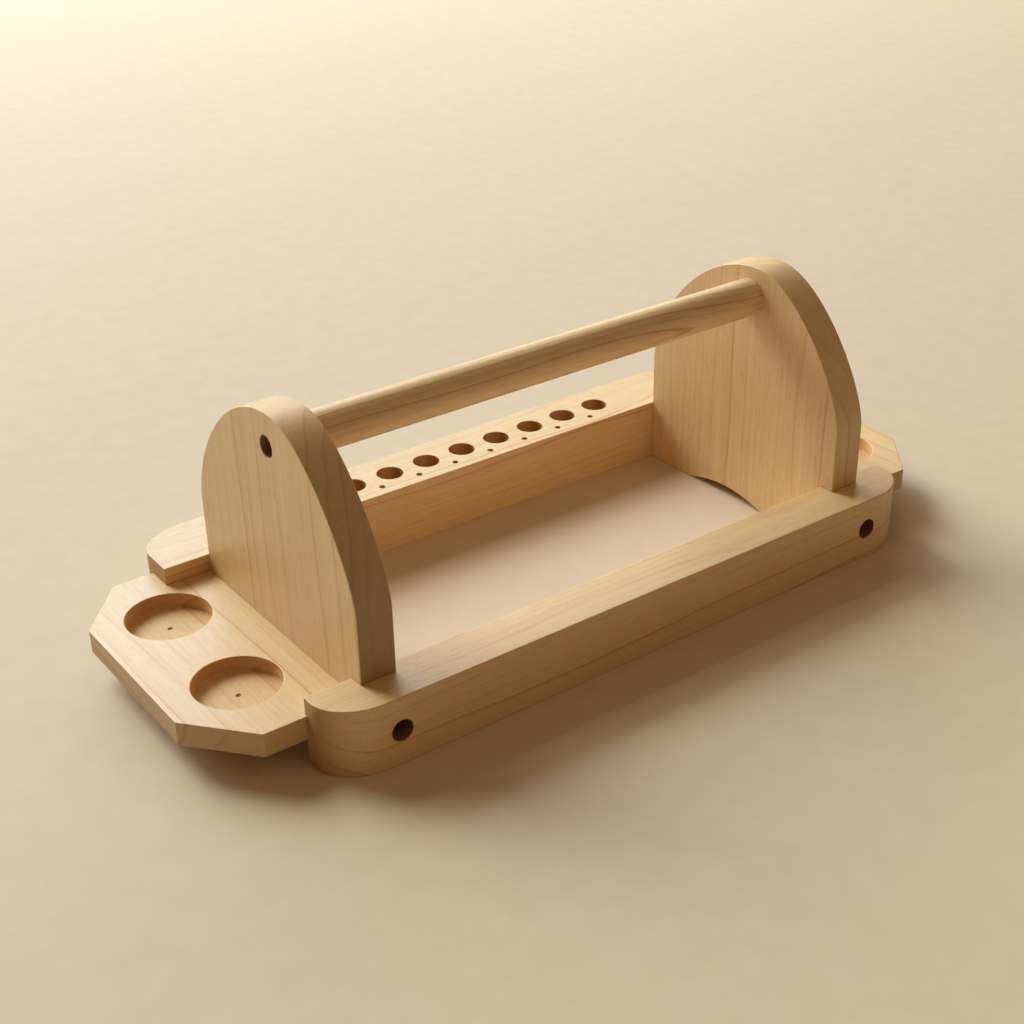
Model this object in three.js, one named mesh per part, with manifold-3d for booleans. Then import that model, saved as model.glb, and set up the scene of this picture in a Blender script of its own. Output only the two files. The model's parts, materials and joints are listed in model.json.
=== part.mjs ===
// A small wooden craft frame for the table: two rounded end panels stand between a front rail and a
// drilled back rail, a round bar joins the panels at the top, and a tray with two cups sits on the
// outside of each panel. Everything is screwed, pinned or let in, so nothing moves.
//
// Units are millimetres. +X runs along the bar, +Y from the front rail to the back rail, +Z up.
// The origin is the middle of the footprint on the table.

import * as THREE from "three";
import { mergeVertices } from "three/addons/utils/BufferGeometryUtils.js";
import Module from "manifold-3d";

const wasm = await Module();
wasm.setup();

// ---------------------------------------------------------------- driving dimensions

const PANEL_THICKNESS = 19;
const PANEL_SPACING = 282; // clear space between the two end panels
const WELL_DEPTH = 141; // clear space between the two rails

const RAIL_HEIGHT = 36;
const FRONT_RAIL_DEPTH = 27;
const BACK_RAIL_DEPTH = 39;
const RAIL_OVERHANG = 25; // how far a rail runs past the outer face of a panel
const RAIL_ROUND_X = 27.5; // the rounded outer corner of a rail, along the rail
const RAIL_ROUND_Y = 21.5; // and across it

const PANEL_TOP = 145.5;
const PANEL_APEX_FROM_FRONT = 59; // from the front rail's inner face
const PANEL_SHOULDER = 8.5; // how far the panel reaches forward over the front rail
const PANEL_FRONT_STRAIGHT = 70; // height where the front edge starts to curve
const PANEL_BACK_STRAIGHT = 68; // height where the back edge starts to curve
const FRONT_PULL = [21, 32.5]; // reach of the front curve's handles, up and back
const BACK_PULL = [45.5, 28.5]; // reach of the back curve's handles, back and down
const ARCH_WIDTH = 60; // the shallow arch under each panel
const ARCH_RISE = 5.5;
const ARCH_FROM_FRONT = 74;

const BAR_RADIUS = 10.5;
const BAR_FROM_FRONT = 63;
const BAR_HEIGHT = 128;
const BAR_SOCKET = 5; // depth of the blind socket in the panel's inner face

const TRAY_REACH = 74; // from the panel's outer face to the tray's end
const TRAY_THICKNESS = 12.5;
const TRAY_UNDERSIDE = 14;
const TRAY_IN_FRONT_RAIL = 2;
const TRAY_IN_BACK_RAIL = 16;
const TRAY_CORNER_X = 27; // the cut-off corners
const TRAY_CORNER_Y = 32;

const CUP_RADIUS = 21.5;
const CUP_DEPTH = 7.5;
const CUP_SPACING = 72;
const CUP_MARK_RADIUS = 1.4; // the small centre mark that the cutter leaves
const CUP_MARK_DEPTH = 1;

const HOLE_COUNT = 10;
const HOLE_PITCH = 24.6;
const HOLE_RADIUS = 7.5;
const HOLE_DEPTH = 24;
const PEG_HOLE_RADIUS = 1.6;
const PEG_HOLE_DEPTH = 12;
const PEG_HOLE_INSET = 8; // from the back rail's inner face

const SCREW_HEIGHT = 18; // of the rail screws
const SCREW_LENGTH = 45;
const SCREW_RADIUS = 2;
const SCREW_TIP = 6;
const SCREW_HEAD_RADIUS = 4.2;
const SCREW_HEAD_HEIGHT = 2.8;
const RECESS_DEPTH = 1.8; // the cross recess in a screw's head
const RECESS_WIDTH = 1.2;
const RECESS_REACH = 2.5; // from the middle to the end of each arm
const COUNTERBORE_RADIUS = 5.5;
const RAIL_GRIP = 15; // wood left under a rail screw's head
const BAR_SCREW_DEPTH = 8; // depth of the counterbore over a bar screw

const PIN_RADIUS = 3;
const PIN_LENGTH = 20;
const PIN_IN_PANEL = 12;
const PIN_SPACING = 54;

const CLEARANCE = 0.3;
const SMALL_SIDES = 12; // flats round a cylinder, by its size
const ROUND_SIDES = 24;
const HOLE_SIDES = 32;
const FINE_SIDES = 48;
const PLAN_STEPS = 16; // steps in each curve of a plan outline
const SIDE_STEPS = 20; // steps in each curve of a side outline

// ---------------------------------------------------------------- places worked out from them

const FRAME_DEPTH = FRONT_RAIL_DEPTH + WELL_DEPTH + BACK_RAIL_DEPTH;
const FRONT_OUTER = -FRAME_DEPTH / 2;
const FRONT_INNER = FRONT_OUTER + FRONT_RAIL_DEPTH;
const BACK_INNER = FRONT_INNER + WELL_DEPTH;
const BACK_OUTER = FRAME_DEPTH / 2;
const PANEL_INNER = PANEL_SPACING / 2;
const PANEL_OUTER = PANEL_INNER + PANEL_THICKNESS;
const PANEL_MIDDLE = (PANEL_INNER + PANEL_OUTER) / 2;
const RAIL_END = PANEL_OUTER + RAIL_OVERHANG;
const BAR_Y = FRONT_INNER + BAR_FROM_FRONT;
const TRAY_FRONT = FRONT_INNER - TRAY_IN_FRONT_RAIL;
const TRAY_BACK = BACK_INNER + TRAY_IN_BACK_RAIL;
const TRAY_TOP = TRAY_UNDERSIDE + TRAY_THICKNESS;
const TRAY_END = PANEL_OUTER + TRAY_REACH;
const TRAY_MIDDLE_Y = (TRAY_FRONT + TRAY_BACK) / 2;
const HOLE_Y = (BACK_INNER + BACK_OUTER) / 2;
const PIN_Y = (FRONT_INNER + BACK_INNER) / 2;
const PAST = 1; // how far a cutter runs past the face that it opens
const DOWN = [0, 0, -1];

// ---------------------------------------------------------------- helpers

const WOOD = { roughness: 0.6, metalness: 0 };
const STEEL = { roughness: 0.4, metalness: 0.9 };
const COLOURS = {
  panel: 0xe6c799,
  rail: 0xe9cda2,
  bar: 0xdfbd8b,
  tray: 0xf0d9b1,
  pin: 0xd9b98a,
  screw: 0x8a8680,
};

function solidFrom(geometry) {
  geometry.deleteAttribute("normal");
  geometry.deleteAttribute("uv");
  const merged = mergeVertices(geometry, 1e-4);
  return new wasm.Manifold(
    new wasm.Mesh({
      numProp: 3,
      vertProperties: new Float32Array(merged.attributes.position.array),
      triVerts: new Uint32Array(merged.index.array),
    }),
  );
}

function cut(geometry, cutters) {
  let solid = solidFrom(geometry);
  for (const cutter of cutters) {
    solid = solid.subtract(solidFrom(cutter));
  }
  const mesh = solid.getMesh();
  const result = new THREE.BufferGeometry();
  result.setAttribute("position", new THREE.BufferAttribute(mesh.vertProperties, 3));
  result.setIndex(new THREE.BufferAttribute(mesh.triVerts, 1));
  result.computeVertexNormals();
  return result;
}

// A plan outline, given in X and Y, raised from one height to another.
function raisePlan(shape, bottom, top) {
  const geometry = new THREE.ExtrudeGeometry(shape, {
    depth: top - bottom,
    bevelEnabled: false,
    curveSegments: PLAN_STEPS,
  });
  return geometry.translate(0, 0, bottom);
}

// A side outline, given in Y and Z, carried from one X to another.
function carrySide(shape, from, to) {
  const geometry = new THREE.ExtrudeGeometry(shape, {
    depth: to - from,
    bevelEnabled: false,
    curveSegments: SIDE_STEPS,
  });
  const turn = new THREE.Matrix4().makeBasis(
    new THREE.Vector3(0, 1, 0),
    new THREE.Vector3(0, 0, 1),
    new THREE.Vector3(1, 0, 0),
  );
  return geometry.applyMatrix4(turn).translate(from, 0, 0);
}

function block(low, high) {
  const size = [0, 1, 2].map((i) => high[i] - low[i]);
  const middle = [0, 1, 2].map((i) => (high[i] + low[i]) / 2);
  return new THREE.BoxGeometry(...size).translate(...middle);
}

// Turns a piece that was made along +Y so that it points along the given direction.
function aim(geometry, point, direction) {
  const turn = new THREE.Quaternion().setFromUnitVectors(
    new THREE.Vector3(0, 1, 0),
    new THREE.Vector3(...direction),
  );
  return geometry.applyQuaternion(turn).translate(...point);
}

// A round rod or drill that starts at a point and runs along a direction.
function rod(point, direction, length, radius, sides = ROUND_SIDES) {
  const geometry = new THREE.CylinderGeometry(radius, radius, length, sides);
  return aim(geometry.translate(0, length / 2, 0), point, direction);
}

function piece(name, geometry, colour, finish = WOOD) {
  const material = new THREE.MeshStandardMaterial({ color: colour, ...finish });
  const mesh = new THREE.Mesh(geometry, material);
  mesh.name = name;
  return mesh;
}

// ---------------------------------------------------------------- screws and their holes

// Every screw is told where the underside of its head sits and which way it drives.
function screwSeats(side) {
  const sign = side === "left" ? -1 : 1;
  const middle = sign * PANEL_MIDDLE;
  return {
    front: { seat: [middle, FRONT_INNER - RAIL_GRIP, SCREW_HEIGHT], drives: [0, 1, 0] },
    back: { seat: [middle, BACK_INNER + RAIL_GRIP, SCREW_HEIGHT], drives: [0, -1, 0] },
    bar: { seat: [sign * (PANEL_OUTER - BAR_SCREW_DEPTH), BAR_Y, BAR_HEIGHT], drives: [-sign, 0, 0] },
  };
}

function screwShaftHole({ seat, drives }) {
  return rod(seat, drives, SCREW_LENGTH + CLEARANCE, SCREW_RADIUS + CLEARANCE);
}

function counterbore({ seat, drives }, depth) {
  const outwards = drives.map((value) => -value);
  return rod(seat, outwards, depth + PAST, COUNTERBORE_RADIUS);
}

function screw({ seat, drives }) {
  const domeEdge = SCREW_HEAD_RADIUS * 0.7;
  const domeSide = SCREW_HEAD_RADIUS * 0.92;
  const profile = [
    [0, -SCREW_HEAD_HEIGHT],
    [domeEdge, -SCREW_HEAD_HEIGHT],
    [domeSide, -SCREW_HEAD_HEIGHT * 0.75],
    [SCREW_HEAD_RADIUS, -SCREW_HEAD_HEIGHT * 0.4],
    [SCREW_HEAD_RADIUS, 0],
    [SCREW_RADIUS, 0],
    [SCREW_RADIUS, SCREW_LENGTH - SCREW_TIP],
    [0, SCREW_LENGTH],
  ];
  const points = profile.map(([radius, along]) => new THREE.Vector2(radius, along));
  const body = new THREE.LatheGeometry(points, ROUND_SIDES);
  const top = -SCREW_HEAD_HEIGHT;
  const floor = top + RECESS_DEPTH;
  const half = RECESS_WIDTH / 2;
  const slot = block([-RECESS_REACH, top - PAST, -half], [RECESS_REACH, floor, half]);
  const crossSlot = block([-half, top - PAST, -RECESS_REACH], [half, floor, RECESS_REACH]);
  return aim(cut(body, [slot, crossSlot]), seat, drives);
}

// ---------------------------------------------------------------- wooden pieces

// Both rails are outlined with the inner face first, so the rounded corners fall on the outer face.
function railPlan(inner, outer) {
  const outwards = Math.sign(outer - inner);
  const roundStart = outer - outwards * RAIL_ROUND_Y;
  const clockwise = outwards > 0;
  const shape = new THREE.Shape();
  shape.moveTo(-RAIL_END, inner);
  shape.lineTo(-RAIL_END, roundStart);
  shape.absellipse(
    -RAIL_END + RAIL_ROUND_X,
    roundStart,
    RAIL_ROUND_X,
    RAIL_ROUND_Y,
    Math.PI,
    outwards * (Math.PI / 2),
    clockwise,
  );
  shape.lineTo(RAIL_END - RAIL_ROUND_X, outer);
  shape.absellipse(
    RAIL_END - RAIL_ROUND_X,
    roundStart,
    RAIL_ROUND_X,
    RAIL_ROUND_Y,
    outwards * (Math.PI / 2),
    0,
    clockwise,
  );
  shape.lineTo(RAIL_END, inner);
  shape.closePath();
  return shape;
}

// The groove in each end of a rail that takes the edge of a tray.
function trayGrooves(low, high) {
  return [
    block([PANEL_OUTER, low, TRAY_UNDERSIDE], [RAIL_END + PAST, high, TRAY_TOP]),
    block([-RAIL_END - PAST, low, TRAY_UNDERSIDE], [-PANEL_OUTER, high, TRAY_TOP]),
  ];
}

function frontRail() {
  const cutters = trayGrooves(TRAY_FRONT, FRONT_INNER + PAST);
  for (const side of ["left", "right"]) {
    const { front } = screwSeats(side);
    cutters.push(screwShaftHole(front));
    cutters.push(counterbore(front, FRONT_RAIL_DEPTH - RAIL_GRIP));
  }
  return cut(raisePlan(railPlan(FRONT_INNER, FRONT_OUTER), 0, RAIL_HEIGHT), cutters);
}

function backRail() {
  const cutters = trayGrooves(BACK_INNER - PAST, TRAY_BACK);
  for (const side of ["left", "right"]) {
    const { back } = screwSeats(side);
    cutters.push(screwShaftHole(back));
    cutters.push(counterbore(back, BACK_RAIL_DEPTH - RAIL_GRIP));
  }
  for (let i = 0; i < HOLE_COUNT; i += 1) {
    const x = (i - (HOLE_COUNT - 1) / 2) * HOLE_PITCH;
    const mouth = [x, HOLE_Y, RAIL_HEIGHT + PAST];
    cutters.push(rod(mouth, DOWN, HOLE_DEPTH + PAST, HOLE_RADIUS, HOLE_SIDES));
  }
  for (let i = 0; i < HOLE_COUNT - 1; i += 1) {
    const x = (i - (HOLE_COUNT - 2) / 2) * HOLE_PITCH;
    const mouth = [x, BACK_INNER + PEG_HOLE_INSET, RAIL_HEIGHT + PAST];
    cutters.push(rod(mouth, DOWN, PEG_HOLE_DEPTH + PAST, PEG_HOLE_RADIUS, SMALL_SIDES));
  }
  return cut(raisePlan(railPlan(BACK_INNER, BACK_OUTER), 0, RAIL_HEIGHT), cutters);
}

// The end panel's outline: a foot between the rails, a shoulder over the front rail, a long front
// curve up to the apex and a rounder one down to the straight back edge.
function panelSide() {
  const front = FRONT_INNER - PANEL_SHOULDER;
  const apex = FRONT_INNER + PANEL_APEX_FROM_FRONT;
  const arch = FRONT_INNER + ARCH_FROM_FRONT;
  const archRadius = (ARCH_RISE ** 2 + (ARCH_WIDTH / 2) ** 2) / (2 * ARCH_RISE);
  const archAngle = Math.asin(ARCH_WIDTH / 2 / archRadius);
  const shape = new THREE.Shape();
  shape.moveTo(FRONT_INNER, 0);
  shape.lineTo(arch - ARCH_WIDTH / 2, 0);
  shape.absarc(
    arch,
    ARCH_RISE - archRadius,
    archRadius,
    Math.PI / 2 + archAngle,
    Math.PI / 2 - archAngle,
    true,
  );
  shape.lineTo(BACK_INNER, 0);
  shape.lineTo(BACK_INNER, PANEL_BACK_STRAIGHT);
  shape.bezierCurveTo(
    BACK_INNER,
    PANEL_BACK_STRAIGHT + BACK_PULL[1],
    apex + BACK_PULL[0],
    PANEL_TOP,
    apex,
    PANEL_TOP,
  );
  shape.bezierCurveTo(
    apex - FRONT_PULL[1],
    PANEL_TOP,
    front,
    PANEL_FRONT_STRAIGHT + FRONT_PULL[0],
    front,
    PANEL_FRONT_STRAIGHT,
  );
  shape.lineTo(front, RAIL_HEIGHT);
  shape.lineTo(FRONT_INNER, RAIL_HEIGHT);
  shape.closePath();
  return shape;
}

function pinPlaces(side) {
  const sign = side === "left" ? -1 : 1;
  const inner = sign * (PANEL_OUTER - PIN_IN_PANEL);
  const height = TRAY_UNDERSIDE + TRAY_THICKNESS / 2;
  return {
    front: { start: [inner, PIN_Y - PIN_SPACING / 2, height], along: [sign, 0, 0] },
    back: { start: [inner, PIN_Y + PIN_SPACING / 2, height], along: [sign, 0, 0] },
  };
}

function pinHole({ start, along }) {
  const deeper = start.map((value, i) => value - along[i] * CLEARANCE);
  return rod(deeper, along, PIN_LENGTH + 2 * CLEARANCE, PIN_RADIUS + CLEARANCE);
}

function endPanel(side) {
  const sign = side === "left" ? -1 : 1;
  const seats = screwSeats(side);
  const pins = pinPlaces(side);
  const socketMouth = [sign * (PANEL_INNER - PAST), BAR_Y, BAR_HEIGHT];
  const cutters = [
    rod(socketMouth, [sign, 0, 0], BAR_SOCKET + PAST, BAR_RADIUS + CLEARANCE, FINE_SIDES),
    counterbore(seats.bar, BAR_SCREW_DEPTH),
    screwShaftHole(seats.bar),
    screwShaftHole(seats.front),
    screwShaftHole(seats.back),
    pinHole(pins.front),
    pinHole(pins.back),
  ];
  const from = side === "left" ? -PANEL_OUTER : PANEL_INNER;
  return cut(carrySide(panelSide(), from, from + PANEL_THICKNESS), cutters);
}

function topBar() {
  const half = PANEL_INNER + BAR_SOCKET;
  const start = [-half, BAR_Y, BAR_HEIGHT];
  const cutters = ["left", "right"].map((side) => screwShaftHole(screwSeats(side).bar));
  return cut(rod(start, [1, 0, 0], 2 * half, BAR_RADIUS, FINE_SIDES), cutters);
}

function tray(side) {
  const sign = side === "left" ? -1 : 1;
  const shape = new THREE.Shape();
  const corners = [
    [PANEL_OUTER, TRAY_FRONT],
    [TRAY_END - TRAY_CORNER_X, TRAY_FRONT],
    [TRAY_END, TRAY_FRONT + TRAY_CORNER_Y],
    [TRAY_END, TRAY_BACK - TRAY_CORNER_Y],
    [TRAY_END - TRAY_CORNER_X, TRAY_BACK],
    [PANEL_OUTER, TRAY_BACK],
  ];
  shape.setFromPoints(corners.map(([x, y]) => new THREE.Vector2(sign * x, y)));
  const pins = pinPlaces(side);
  const cutters = [pinHole(pins.front), pinHole(pins.back)];
  const x = sign * (PANEL_OUTER + TRAY_REACH / 2);
  for (const step of [-0.5, 0.5]) {
    const y = TRAY_MIDDLE_Y + step * CUP_SPACING;
    const mark = new THREE.ConeGeometry(CUP_MARK_RADIUS, CUP_MARK_DEPTH + PAST, SMALL_SIDES);
    const markAt = [x, y, TRAY_TOP - CUP_DEPTH + (PAST - CUP_MARK_DEPTH) / 2];
    cutters.push(rod([x, y, TRAY_TOP + PAST], DOWN, CUP_DEPTH + PAST, CUP_RADIUS, FINE_SIDES));
    cutters.push(mark.rotateX(-Math.PI / 2).translate(...markAt));
  }
  return cut(raisePlan(shape, TRAY_UNDERSIDE, TRAY_TOP), cutters);
}

// ---------------------------------------------------------------- the assembly

const frame = new THREE.Group();
frame.add(piece("front_rail", frontRail(), COLOURS.rail));
frame.add(piece("back_rail", backRail(), COLOURS.rail));
frame.add(piece("top_bar", topBar(), COLOURS.bar));

for (const side of ["left", "right"]) {
  const end = new THREE.Group();
  end.add(piece(`${side}_end_panel`, endPanel(side), COLOURS.panel));
  end.add(piece(`${side}_tray`, tray(side), COLOURS.tray));
  for (const [place, seat] of Object.entries(screwSeats(side))) {
    end.add(piece(`${side}_${place}_screw`, screw(seat), COLOURS.screw, STEEL));
  }
  for (const [place, { start, along }] of Object.entries(pinPlaces(side))) {
    const pin = rod(start, along, PIN_LENGTH, PIN_RADIUS);
    end.add(piece(`${side}_tray_${place}_pin`, pin, COLOURS.pin));
  }
  frame.add(end);
}

export default frame;
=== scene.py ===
# %% [markdown]
# # A wooden loom frame for the table
#
# The real object is a handful of planed boards: two rounded end panels, a front rail, a drilled
# back rail, a round bar and two trays with cups. Screws sit deep in counterbores, and hidden dowel
# pins hold the trays. Nothing moves, so every piece rides on the one body, "root".
#
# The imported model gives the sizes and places. It is faceted and its edges are knife sharp, so this
# lesson rebuilds each board with round holes and eased edges, then gives it wood that runs right
# through it, the way real grain does.

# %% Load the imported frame
import json
import math

import bmesh
import bpy
from mathutils import Matrix, Vector


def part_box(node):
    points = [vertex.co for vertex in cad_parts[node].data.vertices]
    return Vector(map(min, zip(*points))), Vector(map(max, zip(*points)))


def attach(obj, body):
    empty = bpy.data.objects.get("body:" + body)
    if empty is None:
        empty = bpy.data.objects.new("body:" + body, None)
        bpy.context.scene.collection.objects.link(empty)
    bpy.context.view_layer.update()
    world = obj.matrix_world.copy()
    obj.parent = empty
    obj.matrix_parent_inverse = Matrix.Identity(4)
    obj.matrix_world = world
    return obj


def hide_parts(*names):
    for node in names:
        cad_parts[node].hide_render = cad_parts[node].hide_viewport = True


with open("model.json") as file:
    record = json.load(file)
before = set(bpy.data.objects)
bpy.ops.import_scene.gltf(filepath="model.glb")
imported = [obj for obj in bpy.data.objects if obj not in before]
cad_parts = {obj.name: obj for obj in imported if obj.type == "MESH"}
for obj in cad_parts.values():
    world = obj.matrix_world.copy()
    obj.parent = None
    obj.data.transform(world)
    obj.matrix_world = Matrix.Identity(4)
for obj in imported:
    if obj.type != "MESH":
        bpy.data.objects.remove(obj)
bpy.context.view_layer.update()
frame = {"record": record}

# %% [markdown]
# ## The camera
#
# A camera in Blender looks down its own -Z. Three turns aim it: tip it up from straight down,
# swing it round the upright axis, and roll it a touch about its line of sight. Matrices make the
# order of the turns plain, which Euler angles hide.

# %% Camera
CAMERA_PLACE = Vector((-0.4513, -0.6067, 0.4476))
CAMERA_SWING = 35.83
CAMERA_DIP = 28.63
CAMERA_ROLL = 1.06
LENS_MM = 56.24

eye = bpy.data.objects.new("camera", bpy.data.cameras.new("camera"))
eye.data.lens = LENS_MM
eye.data.sensor_width = 36
eye.matrix_world = (
    Matrix.Translation(CAMERA_PLACE)
    @ Matrix.Rotation(math.radians(-CAMERA_SWING), 4, "Z")
    @ Matrix.Rotation(math.radians(90 - CAMERA_DIP), 4, "X")
    @ Matrix.Rotation(math.radians(-CAMERA_ROLL), 4, "Z")
)
bpy.context.scene.collection.objects.link(eye)
bpy.context.scene.camera = eye
print("camera at", [round(v, 3) for v in eye.location])

# %% [markdown]
# ## Node helpers
#
# A material is a graph of small steps. Two helpers keep the graphs short: `add` makes a node and
# plugs its sockets, and `calculate` makes one arithmetic step. A plug can be a plain number or the
# output of another node. The others wrap the few kinds of node that the woods use again and again.

# %% Node helpers
def add(tree, kind, plugs=None, **settings):
    made = tree.nodes.new(kind)
    for name, value in settings.items():
        setattr(made, name, value)
    for socket, value in (plugs or {}).items():
        if isinstance(value, bpy.types.NodeSocket):
            tree.links.new(value, made.inputs[socket])
        else:
            made.inputs[socket].default_value = value
    return made


def calculate(tree, operation, *values, clamp=False):
    plugs = dict(enumerate(values))
    return add(tree, "ShaderNodeMath", plugs, operation=operation, use_clamp=clamp).outputs[0]


def stretch(tree, vector, scale):
    plugs = {0: vector, 1: scale}
    return add(tree, "ShaderNodeVectorMath", plugs, operation="MULTIPLY").outputs[0]


def noise(tree, vector, scale, detail=2.0, roughness=0.5):
    plugs = {"Vector": stretch(tree, vector, scale), "Scale": 1.0}
    plugs.update({"Detail": detail, "Roughness": roughness})
    return add(tree, "ShaderNodeTexNoise", plugs)


def blend_colour(tree, factor, first, second, mode="MIX"):
    plugs = {0: factor, 6: first, 7: second}
    return add(tree, "ShaderNodeMix", plugs, data_type="RGBA", blend_type=mode).outputs[2]


def ramp(tree, factor, stops):
    made = add(tree, "ShaderNodeValToRGB", {0: factor})
    points = made.color_ramp.elements
    while len(points) < len(stops):
        points.new(0.5)
    for point, (place, colour) in zip(points, stops):
        point.position = place
        point.color = colour
    return made.outputs[0]


def grey_ramp(tree, factor, stops):
    return ramp(tree, factor, [(place, (value, value, value, 1)) for place, value in stops])


def new_material(name):
    material = bpy.data.materials.new(name)
    material.use_nodes = True
    tree = material.node_tree
    return material, tree, tree.nodes["Principled BSDF"]


print("helpers ready in Blender", bpy.app.version_string)

# %% [markdown]
# ## Floor
#
# The frame stands on a plain pale floor. One large square is enough, wide enough that its edge is
# far off in every view. A faint mottle keeps it from looking like paint on glass. It is staged, not
# part of the object, so it stays out of the sizes.

# %% Floor
FLOOR_HALF = 12.0
FLOOR_DARK = (0.690, 0.560, 0.430, 1)
FLOOR_LIGHT = (0.720, 0.590, 0.460, 1)
FLOOR_ROUGHNESS = 0.8
MOTTLES_PER_METRE = 60

floor_mesh = bpy.data.meshes.new("floor")
corners = [(-1, -1), (1, -1), (1, 1), (-1, 1)]
floor_mesh.from_pydata([(x * FLOOR_HALF, y * FLOOR_HALF, 0) for x, y in corners], [], [(0, 1, 2, 3)])
floor = bpy.data.objects.new("floor", floor_mesh)
bpy.context.scene.collection.objects.link(floor)
floor_look, tree, shader = new_material("pale_floor")
place = add(tree, "ShaderNodeTexCoord").outputs["Object"]
mottle = noise(tree, place, (MOTTLES_PER_METRE,) * 3, 3.0).outputs[0]
floor_colour = ramp(tree, mottle, [(0.3, FLOOR_DARK), (0.7, FLOOR_LIGHT)])
tree.links.new(floor_colour, shader.inputs["Base Color"])
shader.inputs["Roughness"].default_value = FLOOR_ROUGHNESS
floor_mesh.materials.append(floor_look)
print("floor", 2 * FLOOR_HALF, "m wide")

# %% [markdown]
# ## World and lights
#
# Two window lamps, high up and far behind the frame, a little to its left, give soft shadows that
# fall forward and to the right. A cool patch of sky and a warm side glow soften the back, a weak
# warm lamp fills the front, and a dim warm world lifts the faces that no lamp reaches. Large lamps
# make soft edges, and a lamp's distance sets how quickly its light falls off across the table. A
# sun lamp would be simpler, but its light never falls off and its shadows are too sharp.

# %% World and lamps
ROOM_COLOUR = (1.0, 0.65, 0.37, 1)
ROOM_STRENGTH = 0.18
LAMP_AIM = Vector((0, 0, 0.05))


def area_lamp(name, place, size, watts, colour):
    lamp = bpy.data.lights.new(name, "AREA")
    lamp.shape = "DISK"
    lamp.size = size
    lamp.energy = watts
    lamp.color = colour
    holder = bpy.data.objects.new(name, lamp)
    holder.location = place
    holder.rotation_euler = (LAMP_AIM - Vector(place)).to_track_quat("-Z", "Y").to_euler()
    bpy.context.scene.collection.objects.link(holder)


world = bpy.data.worlds.new("room")
world.use_nodes = True
room = world.node_tree.nodes["Background"]
room.inputs["Color"].default_value = ROOM_COLOUR
room.inputs["Strength"].default_value = ROOM_STRENGTH
bpy.context.scene.world = world

area_lamp("high_window", (-1.5, 6.4, 5.4), 4.6, 490, (0.97, 1.0, 0.86))
area_lamp("low_window", (-1.6, 8.2, 3.9), 6.0, 470, (0.77, 0.95, 1.0))
area_lamp("sky_window", (0.9, 3.6, 2.0), 1.8, 50, (0.60, 0.80, 1.0))
area_lamp("side_glow", (2.4, 3.0, 1.8), 2.4, 38, (1.0, 0.93, 0.76))
area_lamp("front_fill", (0.7, -1.8, 2.6), 1.6, 4.5, (1.0, 0.74, 0.42))
bpy.context.scene.view_settings.view_transform = "Standard"
print(len(bpy.data.lights), "lamps")

# %% [markdown]
# ## Wood
#
# Real wood is a solid: growth rings are tubes round the heart of the tree, and a board is a slice
# of them. So the pattern is worked out in space, from each point's distance to the heart line. A
# face along the grain then shows long lines, an end shows arcs, and the two meet at the edge with
# no seam to hide. An image wrapped on each face could not do that.
#
# The layers are rings, with a thin dark line where each year stops; fine fibres and broader
# strands, which are noise pulled out along the grain; wide patches of tone; and dark pores. Then
# comes what was done to the board. End grain is darker, an edge left by the saw is a little
# browner, with painted shade added on edges that face away from the lamps, and a rubbed edge is
# paler, which the Bevel node finds by comparing the true surface with a softened copy of it. A
# drilled wall gets painted shade, as a hollow would be shaded.

# %% Wood colours
PALE = (0.84, 0.613, 0.335, 1)
DEEP = (0.62, 0.30, 0.08, 1)
# The brown painted on a board's edges: partly a saw-cut tint, partly painted shade.
SAWN_AND_SHADE = (0.18, 0.07, 0.005, 1)


def tinted(colour, factor):
    return (*[min(1.0, c * factor) for c in colour[:3]], 1)


PORE = tinted(DEEP, 0.55)
END_GRAIN = tinted(DEEP, 0.72)
RUBBED = tinted(PALE, 1.12)
print("pale", PALE[:3], "deep", DEEP[:3], "rubbed", [round(c, 3) for c in RUBBED[:3]])

# %% [markdown]
# ### Rings
#
# First a point is turned so that its own Z runs along the grain, and measured in millimetres. Then
# slow noise pushes it sideways, because no trunk is a perfect cone, and its distance to the heart
# line, divided by a year's growth, says which year it grew in. Noise is stretched by its scale:
# three numbers say how many lumps fit in a millimetre across the grain, twice, and along it.

# %% Rings
GRAIN_ORDER = {"x": ("Y", "Z", "X"), "y": ("X", "Z", "Y"), "z": ("X", "Y", "Z")}
METRE_TO_MM = 1000.0
WANDER_SCALE = (0.016, 0.016, 0.0026)
WOBBLE_SCALE = (0.07, 0.07, 0.011)
WOBBLE_MM = 3.0


def grain_space(tree, grain):
    """The point in millimetres, turned so that its Z runs along the grain."""
    place = add(tree, "ShaderNodeTexCoord").outputs["Object"]
    split = add(tree, "ShaderNodeSeparateXYZ", {0: place})
    ordered = [split.outputs[letter] for letter in GRAIN_ORDER[grain]]
    joined = add(tree, "ShaderNodeCombineXYZ", dict(enumerate(ordered))).outputs[0]
    return stretch(tree, joined, (METRE_TO_MM,) * 3)


def pushed(tree, point, base, scale, amount):
    """The point pushed sideways by a slow noise, by up to some millimetres."""
    field = noise(tree, base, scale, 2.0).outputs["Color"]
    push = stretch(tree, field, (amount, amount, 0))
    return add(tree, "ShaderNodeVectorMath", {0: point, 1: push}, operation="ADD").outputs[0]


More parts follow.
